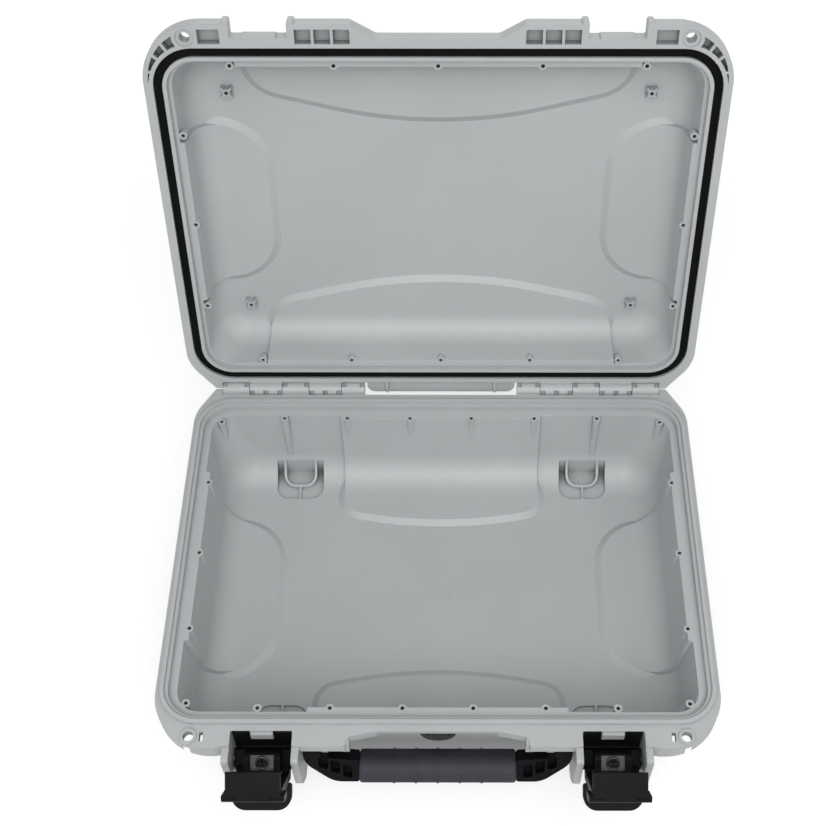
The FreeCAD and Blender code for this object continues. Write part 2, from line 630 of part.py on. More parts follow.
def padlock_parts(z):
    """Collar and boss solids around the base's padlock holes."""
    collar = Part.makeCylinder(PADLOCK_COLLAR_RADIUS, PADLOCK_PLATE + PADLOCK_COLLAR_HEIGHT,
                               Vector(PADLOCK_X, PADLOCK_Y, z - PADLOCK_PLATE))
    return both_sides(collar)


def padlock_holes(low, high):
    """Through holes for padlock shackles in both front corners."""
    return both_sides(Part.makeCylinder(PADLOCK_HOLE_RADIUS, high - low, Vector(PADLOCK_X, PADLOCK_Y, low)))


def padlock_slots():
    """Narrow drain slots beside the base's padlock holes."""
    width, length, depth = PADLOCK_SLOT
    slot = box((PADLOCK_SLOT_X - width / 2, PADLOCK_Y - length / 2, PARTING_Z - depth),
               (PADLOCK_SLOT_X + width / 2, PADLOCK_Y + length / 2, PARTING_Z + 1.0))
    return both_sides(slot)


def valve_place():
    """Centre height of the pressure valve."""
    return PARTING_Z - VALVE_DROP


def front_panel():
    """Upright panel that stands in front of the tub's rounded lower edge, with ribs behind it."""
    high = PARTING_Z - BASE_SKIRT + 1.0
    solids = [box((-PANEL_HALF, VALVE_PAD_Y, PANEL_FOOT), (PANEL_HALF, VALVE_PAD_Y + PANEL_WALL, high))]
    pitch = (2.0 * PANEL_HALF - CORING_RIB) / (PANEL_RIBS - 1)
    for index in range(PANEL_RIBS):
        left = index * pitch - PANEL_HALF
        solids.append(box((left, VALVE_PAD_Y + 1.0, PANEL_FOOT),
                          (left + CORING_RIB, VALVE_PAD_Y + PANEL_RIB_DEPTH, PANEL_RIB_TOP)))
    return solids


def base_shell():
    """Deep lower shell."""
    outer = lobed(base_tub(WALL), base_tub(WALL - LOBE_STEP),
                  [offset_corners(lobe, -WALL) for lobe in base_lobes()],
                  0.0, PARTING_Z - BASE_SKIRT - 2.0)
    pad = along_valve(VALVE_PAD_RADIUS, VALVE_PAD_Y, VALVE_PAD_INNER_Y - VALVE_PAD_Y)
    tongue = plan_prism(seal_rectangle(TONGUE_WIDTH / 2), PARTING_Z - 1.0, PARTING_Z + TONGUE_HEIGHT)
    tongue = tongue.cut(plan_prism(seal_rectangle(-TONGUE_WIDTH / 2), PARTING_Z - 1.0, PARTING_Z + TONGUE_HEIGHT))
    body = outer.fuse([base_rim()] + feet() + latch_guards() + handle_lugs() + padlock_parts(PARTING_Z)
                      + front_panel())

    inside = lobed(base_tub(0.0), base_tub(-LOBE_STEP), base_lobes(), FLOOR_Z, LEDGE_Z)
    ledge = plan_prism(seal_rectangle(-LEDGE_INSET), LEDGE_Z, PARTING_Z + 1.0)
    body = body.cut([inside, ledge] + foot_pockets())
    places = base_boss_places()
    bosses = [screw_boss(x, y, LEDGE_Z, length).common(outer) for x, y, length in places]
    body = body.fuse(bosses + [pad, tongue] + knuckles(0))

    lever_y, lever_drop = LEVER_PIN
    handle_y, handle_drop = HANDLE_PIN
    latch_bore = x_rod(LEVER_PIN_RADIUS + PIN_CLEARANCE, LATCH_X - LATCH_RECESS_HALF - GUARD_WALL,
                       LATCH_X + LATCH_RECESS_HALF + GUARD_WALL, lever_y, PARTING_Z + lever_drop)
    handle_bore = x_rod(HANDLE_PIN_RADIUS + PIN_CLEARANCE, HANDLE_LUG_INNER,
                        LATCH_X - LATCH_RECESS_HALF, handle_y, PARTING_Z + handle_drop)
    valve_bore = along_valve(VALVE_STEM_RADIUS + PIN_CLEARANCE, VALVE_PAD_Y, VALVE_PAD_INNER_Y - VALVE_PAD_Y)
    cuts = [boss_hole(x, y, LEDGE_Z, BOSS_HOLE_DEPTH) for x, y, length in places]
    cuts += padlock_holes(0.0, PARTING_Z + PADLOCK_COLLAR_HEIGHT) + padlock_slots()
    cuts += both_sides(latch_bore) + both_sides(handle_bore) + [valve_bore]
    return body.cut(cuts).removeSplitter()


def lid_coring():
    """Pockets in the flange's parting face along the front and round the front corners."""
    zone = plan_prism(offset_corners(lid_rim_corners(), -LID_CORING_WALL), PARTING_Z, PARTING_Z + LID_CORING_DEPTH)
    zone = zone.cut(plan_prism(seal_rectangle(GASKET_WIDTH), PARTING_Z, PARTING_Z + LID_CORING_DEPTH))
    inner = LATCH_X - LID_NOTCH_HALF
    outer = LATCH_X + LID_NOTCH_HALF
    low = PARTING_Z - 1.0
    high = PARTING_Z + LID_FLANGE
    cell = (inner - GUARD_WALL - HANDLE_RECESS_SHOULDER + 5.0) / 3.0
    areas = []
    for index in range(3):
        right = inner - GUARD_WALL - index * cell
        areas.append(box((right - cell + CORING_RIB, -OUT, low), (right, -SEAL_HALF_DEPTH, high)))
    areas.append(box((outer + GUARD_WALL + 1.5, -OUT, low),
                     (PADLOCK_X - PADLOCK_BOSS_RADIUS, -SEAL_HALF_DEPTH, high)))
    corner_x = SEAL_HALF_LENGTH - SEAL_CORNER
    corner_y = -(SEAL_HALF_DEPTH - SEAL_CORNER)
    boss = Part.makeCylinder(PADLOCK_BOSS_RADIUS, high - low, Vector(PADLOCK_X, PADLOCK_Y, low))
    corner = box((PADLOCK_X, -OUT, low), (OUT, corner_y, high)).cut(boss)
    for angle in (-22.0, -42.0, -58.0):
        rib = box((corner_x, corner_y - CORING_RIB / 2, low), (OUT, corner_y + CORING_RIB / 2, high))
        rib.rotate(Vector(corner_x, corner_y, 0), Vector(0, 0, 1), angle)
        corner = corner.cut(rib)
    areas.append(corner)
    pockets = []
    for area in areas:
        pockets += both_sides(zone.common(area))
    return pockets


def lid_posts():
    """Finned screw posts on the inside of the lid's panel."""
    low = LID_PANEL_Z - POST_HEIGHT
    deep = LID_PANEL_Z + 1.0
    post = Part.makeCylinder(POST_RADIUS, deep - low, Vector(POST_X, POST_Y, low))
    for angle in (45.0, 135.0):
        fin = box((POST_X - POST_FIN_SPAN / 2, POST_Y - POST_FIN_WALL / 2, low),
                  (POST_X + POST_FIN_SPAN / 2, POST_Y + POST_FIN_WALL / 2, deep))
        fin.rotate(Vector(POST_X, POST_Y, 0), Vector(0, 0, 1), angle)
        post = post.fuse(fin)
    post = post.cut(Part.makeCylinder(BOSS_HOLE_RADIUS, POST_HEIGHT, Vector(POST_X, POST_Y, low)))
    pair = both_sides(post)
    return pair + [solid.mirror(Vector(0, 0, 0), Vector(0, 1, 0)) for solid in pair]


def lid_rear_lip():
    """Lip between the two hinges that shields the gap, with two short ribs under it."""
    half = KNUCKLE_BOUNDS[0] - REAR_LIP_INSET
    far = REAR_EDGE_Y + REAR_LIP_REACH
    near = REAR_EDGE_Y - 1.0
    low = PARTING_Z + REAR_LIP[0]
    lip = plan_prism([(half, near, 0.0), (half, far, REAR_LIP_CORNER), (-half, far, REAR_LIP_CORNER), (-half, near, 0.0)],
                     low, PARTING_Z + REAR_LIP[1])
    rib_x = half - REAR_LIP_RIB_X
    rib = box((rib_x - CORING_RIB / 2, near, LID_FACE_Z), (rib_x + CORING_RIB / 2, far - 1.0, low + 1.0))
    return [lip] + both_sides(rib)


def lid_horns():
    """Small proud ridges at both edges of each latch notch."""
    front = -(SEAL_HALF_DEPTH + LID_FRONT_REACH)
    solids = []
    for x in (LATCH_X - LID_NOTCH_HALF - GUARD_WALL, LATCH_X + LID_NOTCH_HALF):
        ridge = [(x, front + 6.0, 0.0), (x, front - 1.6, 1.5), (x + GUARD_WALL, front - 1.6, 1.5),
                 (x + GUARD_WALL, front + 6.0, 0.0)]
        solids += both_sides(plan_prism(ridge, LID_FACE_Z, LID_FLANGE_Z))
    return solids


def lid_shell():
    """Upper shell, drawn closed."""
    outer = lobed(lid_tub(WALL), lid_tub(WALL - LOBE_STEP),
                  [offset_corners(lobe, -WALL) for lobe in lid_lobes()],
                  LID_PANEL_Z + WALL, LID_FLANGE_Z + 2.0)
    flange = plan_prism(lid_rim_corners(), LID_FACE_Z, LID_FLANGE_Z)
    inside = lobed(lid_tub(0.0), lid_tub(-LOBE_STEP), lid_lobes(), LID_PANEL_Z, LID_LEDGE_Z)
    ledge = plan_prism(seal_rectangle(-LID_LEDGE_INSET), PARTING_Z, LID_LEDGE_Z)
    groove_half = GASKET_WIDTH / 2 + GASKET_CLEARANCE
    groove = plan_prism(seal_rectangle(groove_half), PARTING_Z, GROOVE_Z)
    groove = groove.cut(plan_prism(seal_rectangle(-groove_half), PARTING_Z, GROOVE_Z))
    notch_y = -(SEAL_HALF_DEPTH + LID_NOTCH_REACH)
    tab = box((LATCH_X - 10.5, notch_y - 1.0, LID_FACE_Z), (LATCH_X + 10.5, notch_y + 2.0, LID_FLANGE_Z - 1.0))
    body = outer.fuse([flange] + lid_horns() + lid_rear_lip() + both_sides(tab))
    body = body.cut([inside, ledge, groove] + lid_coring())
    places = lid_boss_places()
    bosses = [screw_boss(x, y, LID_LEDGE_Z, -LID_BOSS_LENGTH).common(outer) for x, y in places]
    edge_y = SEAL_HALF_DEPTH - LID_RIM_INSET
    strip = box((-LEDGE_STRIP_HALF, edge_y - LEDGE_STRIP, LID_LEDGE_Z), (LEDGE_STRIP_HALF, edge_y + 1.0, LID_LEDGE_Z + LEDGE_STRIP))
    strips = [strip, strip.mirror(Vector(0, 0, 0), Vector(0, 1, 0))]
    body = body.fuse(bosses + strips + lid_posts() + knuckles(1))
    holes = [boss_hole(x, y, LID_LEDGE_Z, -LID_BOSS_HOLE_DEPTH) for x, y in places]
    collar_room = Part.makeCylinder(PADLOCK_COLLAR_RADIUS + PARTING_GAP, PADLOCK_COLLAR_HEIGHT + PARTING_GAP,
                                    Vector(PADLOCK_X, PADLOCK_Y, PARTING_Z))
    holes += both_sides(collar_room) + padlock_holes(PARTING_Z, LID_FLANGE_Z)
    return body.cut(holes).removeSplitter()


def lid_gasket():
    """Sealing cord in the lid's groove, drawn closed."""
    low = GROOVE_Z - GASKET_HEIGHT
    ring = plan_prism(seal_rectangle(GASKET_WIDTH / 2), low, GROOVE_Z)
    return ring.cut(plan_prism(seal_rectangle(-GASKET_WIDTH / 2), low, GROOVE_Z))


def hinge_pin():
    """Steel pin of the right hinge."""
    return x_rod(HINGE_PIN_RADIUS, KNUCKLE_BOUNDS[0] + PIN_END_INSET, KNUCKLE_BOUNDS[-1] - PIN_END_INSET,
                 HINGE_Y, PARTING_Z)


def latch_lever():
    """Right latch's lever, drawn closed: pivoted neck and wide finger paddle."""
    y, drop = LEVER_PIN
    pivot_z = PARTING_Z + drop
    claw_y, claw_drop = CLAW_PIN
    hub = LEVER_HUB_RADIUS
    back = LEVER_FACE_Y + LEVER_PLATE
    low = PARTING_Z + PADDLE_TOP
    neck = [(LEVER_FACE_Y, low - 6.0, 0.0), (back, low - 6.0, 0.0), (back, low - 1.0, 1.0),
            (claw_y + CLAW_ARM_RADIUS, PARTING_Z + claw_drop - CLAW_ARM_RADIUS, 4.0),
            (y + hub, pivot_z - hub, hub), (y + hub, pivot_z + hub, hub), (LEVER_FACE_Y, pivot_z + hub, 5.0)]
    body = side_prism(neck, LATCH_X - LEVER_NECK_HALF, LATCH_X + LEVER_NECK_HALF)
    foot = PARTING_Z + LEVER_FOOT
    paddle = [(LATCH_X - LATCH_HALF_WIDTH, foot, PADDLE_CORNER), (LATCH_X + LATCH_HALF_WIDTH, foot, PADDLE_CORNER),
              (LATCH_X + LATCH_HALF_WIDTH, low, 2.0), (LATCH_X - LATCH_HALF_WIDTH, low, 2.0)]
    barrel = x_rod(hub, LATCH_X - LATCH_HALF_WIDTH, LATCH_X + LATCH_HALF_WIDTH, y, pivot_z)
    barrel = barrel.common(box((0.0, y - LEVER_HUB_FRONT, 0.0), (OUT, 0.0, PARTING_Z)))
    barrel = barrel.cut(x_rod(CLAW_ARM_RADIUS + PARTING_GAP, 0.0, OUT, claw_y, PARTING_Z + claw_drop))
    body = body.fuse([barrel, front_prism(paddle, LEVER_FACE_Y, back)])
    half_x, half_z = RETAINER_HALF
    window = box((LATCH_X - half_x, LEVER_FACE_Y, pivot_z - half_z),
                 (LATCH_X + half_x, LEVER_FACE_Y + RETAINER_DEPTH, pivot_z + half_z))
    bore = x_rod(LEVER_PIN_RADIUS + PIN_CLEARANCE, LATCH_X - OUT, LATCH_X + OUT, y, pivot_z)
    claw_bore = x_rod(CLAW_PIN_RADIUS + PIN_CLEARANCE, LATCH_X - OUT, LATCH_X + OUT, claw_y, PARTING_Z + claw_drop)
    shank_y = LEVER_FACE_Y + RETAINER_DEPTH
    thread = Part.makeCylinder(RETAINER_SHANK_RADIUS, RETAINER_SHANK, Vector(LATCH_X, shank_y, pivot_z), Vector(0, 1, 0))
    return body.cut([window, bore, claw_bore, thread]).removeSplitter()


def latch_retainer():
    """Plate at the bottom of the lever's window, bored for its screw."""
    half_x, half_z = RETAINER_HALF
    pivot_z = PARTING_Z + LEVER_PIN[1]
    seat = LEVER_FACE_Y + RETAINER_DEPTH
    plate = box((LATCH_X - half_x + PIN_CLEARANCE, seat - RETAINER_THICKNESS, pivot_z - half_z + PIN_CLEARANCE),
                (LATCH_X + half_x - PIN_CLEARANCE, seat, pivot_z + half_z - PIN_CLEARANCE))
    hole = Part.makeCylinder(RETAINER_SHANK_RADIUS + PIN_CLEARANCE, RETAINER_THICKNESS,
                             Vector(LATCH_X, seat - RETAINER_THICKNESS, pivot_z), Vector(0, 1, 0))
    return plate.cut(hole)


def latch_screw():
    """Screw that holds the retainer plate."""
    pivot_z = PARTING_Z + LEVER_PIN[1]
    seat = LEVER_FACE_Y + RETAINER_DEPTH - RETAINER_THICKNESS
    head = Part.makeCylinder(RETAINER_SCREW_RADIUS, RETAINER_SCREW_HEAD,
                             Vector(LATCH_X, seat - RETAINER_SCREW_HEAD, pivot_z), Vector(0, 1, 0))
    shank = Part.makeCylinder(RETAINER_SHANK_RADIUS, RETAINER_THICKNESS + RETAINER_SHANK,
                              Vector(LATCH_X, seat, pivot_z), Vector(0, 1, 0))
    return head.fuse(shank).removeSplitter()


def latch_claw():
    """Right latch's claw, drawn closed: two arms and the hooked bar that holds the lid's flange."""
    y, drop = CLAW_PIN
    pin_z = PARTING_Z + drop
    under = LID_FLANGE_Z + CLAW_GAP
    top = under + CLAW_FINGER
    bar_low = under - 11.0
    bar = [(CLAW_FACE_Y, bar_low, 1.5), (CLAW_BAR_Y, bar_low, 1.0), (CLAW_BAR_Y, top, 0.0), (CLAW_FACE_Y, top, 4.0)]
    body = side_prism(bar, LATCH_X - LATCH_HALF_WIDTH, LATCH_X + LATCH_HALF_WIDTH)
    finger = box((LATCH_X - CLAW_FINGER_HALF, CLAW_BAR_Y - 1.0, under), (LATCH_X + CLAW_FINGER_HALF, CLAW_TIP_Y, top))
    arm_front = y - CLAW_ARM_RADIUS
    arm_back = y + CLAW_ARM_BACK
    arm = [(arm_front, pin_z - CLAW_ARM_RADIUS, CLAW_ARM_RADIUS),
           (y + CLAW_ARM_RADIUS, pin_z - CLAW_ARM_RADIUS, CLAW_ARM_RADIUS),
           (y + CLAW_ARM_RADIUS, pin_z + 1.5, 1.0), (arm_back, pin_z + 4.0, 1.0),
           (arm_back, top - 1.0, 0.0), (arm_front, top - 1.0, 0.0)]
    arms = []
    for left in (LATCH_X - CLAW_ARM_INNER - CLAW_ARM_WALL, LATCH_X + CLAW_ARM_INNER):
        arms.append(side_prism(arm, left, left + CLAW_ARM_WALL))
    bore = x_rod(CLAW_PIN_RADIUS + PIN_CLEARANCE, LATCH_X - OUT, LATCH_X + OUT, y, pin_z)
    dip = [(LATCH_X - CLAW_DIP_HALF, top - CLAW_DIP, 2.0), (LATCH_X + CLAW_DIP_HALF, top - CLAW_DIP, 2.0),
           (LATCH_X + CLAW_DIP_HALF + 3.0, top + 1.0, 0.0), (LATCH_X - CLAW_DIP_HALF - 3.0, top + 1.0, 0.0)]
    return body.fuse([finger] + arms).cut([bore, front_prism(dip, CLAW_FACE_Y - 1.0, CLAW_BAR_Y - 0.6)]).removeSplitter()


def latch_lever_pin():
    """Pin across the guards that carries the right latch's lever."""
    reach = LATCH_RECESS_HALF + GUARD_WALL - PIN_END_INSET
    y, drop = LEVER_PIN
    return x_rod(LEVER_PIN_RADIUS, LATCH_X - reach, LATCH_X + reach, y, PARTING_Z + drop)


def latch_claw_pins():
    """Two short pins that join the right latch's claw to its lever."""
    y, drop = CLAW_PIN
    outer = CLAW_ARM_INNER + CLAW_ARM_WALL
    inner = LEVER_NECK_HALF - CLAW_ARM_WALL
    spans = [(LATCH_X - outer, LATCH_X - inner), (LATCH_X + inner, LATCH_X + outer)]
    return Part.makeCompound([x_rod(CLAW_PIN_RADIUS, left, right, y, PARTING_Z + drop) for left, right in spans])


def hang(x, reach, out):
    """Point of the handle before it is tilted: reach runs down from its pins, out runs forwards."""
    return Vector(x, HANDLE_PIN[0] - out, PARTING_Z + HANDLE_PIN[1] - reach)


def handle_plate(corners, back, front):
    """Solid from an (x, reach) outline of the hanging handle between two depths."""
    wire = outline(corners, lambda point: hang(point.x, point.y, back))
    return Part.Face(wire).extrude(Vector(0, back - front, 0))


def handle_frame():
    """Rigid handle: hubs, swept arms with cored pockets, and the bar inside the grip."""
    half = HANDLE_ARM_THICKNESS / 2
    bar_low = HANDLE_REACH - HANDLE_BAR / 2
    bar_high = HANDLE_REACH + HANDLE_BAR / 2
    far = HANDLE_REACH + GRIP_DEPTH / 2
    arm = [(GRIP_HALF_LENGTH, HANDLE_REACH - GRIP_DEPTH / 2 + 1.0, 2.0), (HANDLE_HUB_INNER, ARM_ROOT, 3.0),
           (HANDLE_HUB_INNER, -2.0, 0.0), (HANDLE_HUB_OUTER, -2.0, 0.0), (HANDLE_HUB_OUTER, ARM_SHOULDER, 14.0),
           (HANDLE_HUB_INNER - 8.0, far - 1.0, 16.0), (GRIP_HALF_LENGTH, far - 1.0, 2.0)]
    solid = handle_plate(arm, -half, half)
    start = GRIP_HALF_LENGTH + ARM_POCKET_MARGIN[0]
    pitch = (HANDLE_HUB_OUTER - ARM_POCKET_MARGIN[1] - start) / ARM_POCKETS
    for index in range(ARM_POCKETS):
        left = start + index * pitch
        right = left + pitch - CORING_RIB
        low = bar_low - ARM_POCKET_RISE * index / ARM_POCKETS
        high = far - WALL - ARM_POCKET_FALL * index / ARM_POCKETS
        pocket = [(left, low + 1.5, 1.5), (right, low, 1.5), (right, high - 1.5, 1.5), (left, high, 1.5)]
        solid = solid.cut(handle_plate(pocket, 0.0, half + 1.0))
    hub = x_rod(HANDLE_HUB_RADIUS, HANDLE_HUB_INNER, HANDLE_HUB_OUTER, HANDLE_PIN[0], PARTING_Z + HANDLE_PIN[1])
    bore = x_rod(HANDLE_PIN_RADIUS + PIN_CLEARANCE, 0.0, OUT, HANDLE_PIN[0], PARTING_Z + HANDLE_PIN[1])
    arms = both_sides(solid.fuse(hub).cut(bore))
    bar = [(-GRIP_HALF_LENGTH - 1.0, bar_low, 0.0), (GRIP_HALF_LENGTH + 1.0, bar_low, 0.0),
           (GRIP_HALF_LENGTH + 1.0, bar_high, 0.0), (-GRIP_HALF_LENGTH - 1.0, bar_high, 0.0)]
    return arms[0].fuse([arms[1], handle_plate(bar, -half, half)]).removeSplitter()


def handle_grip():
    """Soft sleeve on the handle's bar."""
    half = GRIP_THICKNESS / 2
    low = HANDLE_REACH - GRIP_DEPTH / 2
    high = HANDLE_REACH + GRIP_DEPTH / 2
    section = [(-half, low, GRIP_CORNER), (half, low, GRIP_CORNER), (half, high, GRIP_CORNER), (-half, high, GRIP_CORNER)]
    wire = outline(section, lambda point: hang(-GRIP_HALF_LENGTH, point.y, point.x))
    sleeve = Part.Face(wire).extrude(Vector(2 * GRIP_HALF_LENGTH, 0, 0))
    room = HANDLE_BAR / 2 + PIN_CLEARANCE
    half_room = HANDLE_ARM_THICKNESS / 2 + PIN_CLEARANCE
    core = box((-OUT, HANDLE_PIN[0] - half_room, PARTING_Z + HANDLE_PIN[1] - HANDLE_REACH - room),
               (OUT, HANDLE_PIN[0] + half_room, PARTING_Z + HANDLE_PIN[1] - HANDLE_REACH + room))
    return sleeve.cut(core)


def handle_pin():
    """Right handle pin, between the lug and the latch guard."""
    return x_rod(HANDLE_PIN_RADIUS, HANDLE_LUG_INNER, LATCH_X - LATCH_RECESS_HALF - PIN_END_INSET,
                 HANDLE_PIN[0], PARTING_Z + HANDLE_PIN[1])


def along_valve(radius, near, length):
    """Cylinder on the valve's axis, from near towards the inside."""
    return Part.makeCylinder(radius, length, Vector(0, near, valve_place()), Vector(0, 1, 0))


def valve_body():
    """Valve stem with the flange that seats on the front wall's pad."""
    flange = along_valve(VALVE_RADIUS - 2.0, VALVE_PAD_Y - VALVE_SEAL_WIRE - 2.0, 2.0)
    stem_start = VALVE_PAD_Y - VALVE_SEAL_WIRE
    stem = along_valve(VALVE_STEM_RADIUS, stem_start, VALVE_PAD_INNER_Y + VALVE_NUT + VALVE_STEM_PROUD - stem_start)
    return flange.fuse(stem).removeSplitter()


def valve_cap():
    """Round outer cap with two small breather holes."""
    seat = VALVE_PAD_Y - VALVE_SEAL_WIRE
    cap = along_valve(VALVE_RADIUS, seat - VALVE_CAP, VALVE_CAP)
    rim = [edge for edge in cap.Edges if abs(edge.BoundBox.YMin - (seat - VALVE_CAP)) < 1e-6
           and abs(edge.BoundBox.YMax - (seat - VALVE_CAP)) < 1e-6]
    cap = cap.makeChamfer(1.0, rim)
    cap = cap.cut(along_valve(VALVE_RADIUS - 2.0, seat - 2.0, 2.0))
    for x in (-VALVE_HOLE_X, VALVE_HOLE_X):
        hole = Part.makeCylinder(VALVE_HOLE_RADIUS, VALVE_CAP, Vector(x, seat - VALVE_CAP, valve_place()), Vector(0, 1, 0))
        cap = cap.cut(hole)
    return cap


def valve_seal():
    """Seal washer between the valve's flange and the wall."""
    outer = along_valve(VALVE_RADIUS - 3.0, VALVE_PAD_Y - VALVE_SEAL_WIRE, VALVE_SEAL_WIRE)
    return outer.cut(along_valve(VALVE_STEM_RADIUS + PIN_CLEARANCE, VALVE_PAD_Y - VALVE_SEAL_WIRE, VALVE_SEAL_WIRE))


def valve_nut():
    """Six-sided lock nut inside the front wall."""
    corners = [(VALVE_NUT_RADIUS * math.cos(math.radians(60.0 * k)),
                valve_place() + VALVE_NUT_RADIUS * math.sin(math.radians(60.0 * k)), 0.0) for k in range(6)]
    nut = front_prism(corners, VALVE_PAD_INNER_Y, VALVE_PAD_INNER_Y + VALVE_NUT)
    return nut.cut(along_valve(VALVE_STEM_RADIUS + PIN_CLEARANCE, VALVE_PAD_INNER_Y, VALVE_NUT))


def turned(shape, place, angle):
    """Copy turned about the X direction through a (y, height above the parting plane) place."""
    copy = shape.copy()
    copy.rotate(Vector(0, place[0], PARTING_Z + place[1]), Vector(1, 0, 0), angle)
    return copy


def open_lid(shape):
    """Lid piece at its open stop."""
    return turned(shape, (HINGE_Y, 0.0), -LID_OPEN_ANGLE)


def open_lever(shape):
    """Lever piece hanging open."""
    return turned(shape, LEVER_PIN, -LEVER_OPEN_ANGLE)


def open_claw(shape):
    """Claw swung clear: it rides out with the lever's claw pin and tilts forwards."""
    return open_lever(turned(shape, CLAW_PIN, LEVER_OPEN_ANGLE + CLAW_OPEN_ANGLE))


def folded_handle(shape):
    """Handle piece at its folded stop."""
    return turned(shape, HANDLE_PIN, -HANDLE_REST_TILT)


def pair(name, solid):
    """Right piece and its mirrored left twin, by node name."""
    right, left = both_sides(solid)
    return {name + "_right": right, name + "_left": left}


def build():
    """Every piece of the standing case by node name."""
    pieces = {
        "base_shell": base_shell(),
        "lid_shell": open_lid(lid_shell()),
        "lid_gasket": open_lid(lid_gasket()),
        "handle_frame": folded_handle(handle_frame()),
        "handle_grip": folded_handle(handle_grip()),
        "pressure_valve_body": valve_body(),
        "pressure_valve_cap": valve_cap(),
        "pressure_valve_seal": valve_seal(),
        "pressure_valve_nut": valve_nut(),
    }
    pieces.update(pair("hinge_pin", hinge_pin()))
    pieces.update(pair("handle_pin", handle_pin()))
    pieces.update(pair("latch_liner", latch_liner()))
    pieces.update(pair("latch_lever", open_lever(latch_lever())))
    pieces.update(pair("latch_retainer", open_lever(latch_retainer())))
    pieces.update(pair("latch_screw", open_lever(latch_screw())))
    pieces.update(pair("latch_claw", open_claw(latch_claw())))
    pieces.update(pair("latch_lever_pin", latch_lever_pin()))
    pieces.update(pair("latch_claw_pins", open_lever(latch_claw_pins())))
    return pieces


os.makedirs("parts", exist_ok=True)
for name, shape in build().items():
    shape.exportStep(os.path.join("parts", name + ".step"))
    print(name, "solids", len(shape.Solids), "volume", round(shape.Volume), "valid", shape.isValid())
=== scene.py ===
"""Looks of the open hard case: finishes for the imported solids, small fitted details, light and camera."""
import logging
import math
from collections.abc import Callable
from dataclasses import dataclass
from enum import Enum

import bpy
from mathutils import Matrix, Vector


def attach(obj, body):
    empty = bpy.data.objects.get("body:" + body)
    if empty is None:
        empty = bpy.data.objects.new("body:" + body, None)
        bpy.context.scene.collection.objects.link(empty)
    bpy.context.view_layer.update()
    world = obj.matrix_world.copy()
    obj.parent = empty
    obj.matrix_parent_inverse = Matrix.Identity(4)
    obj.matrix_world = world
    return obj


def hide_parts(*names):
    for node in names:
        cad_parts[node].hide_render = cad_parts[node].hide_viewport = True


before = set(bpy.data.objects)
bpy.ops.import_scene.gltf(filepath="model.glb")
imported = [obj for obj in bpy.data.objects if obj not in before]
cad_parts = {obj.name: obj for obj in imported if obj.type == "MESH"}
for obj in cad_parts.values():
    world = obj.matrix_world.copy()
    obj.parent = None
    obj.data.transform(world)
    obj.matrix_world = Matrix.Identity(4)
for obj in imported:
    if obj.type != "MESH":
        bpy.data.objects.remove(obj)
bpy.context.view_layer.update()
log = logging.getLogger("hard_case")

Colour = tuple[float, float, float]
Place = tuple[float, float, float]

# Sockets of a colour mix node
MIX_FIRST = 6
MIX_SECOND = 7
MIX_RESULT = 2

# Share of a normal or a height that counts as facing or lying that way
NEARLY = 0.9

# Distance in metres that is too small to see
HAIR = 1e-5


class Side(Enum):
    """Left and right as seen from the handle."""

    LEFT = -1
    RIGHT = 1

    @property
    def word(self) -> str:
        """Side's name as node names end in it."""
        return self.name.lower()


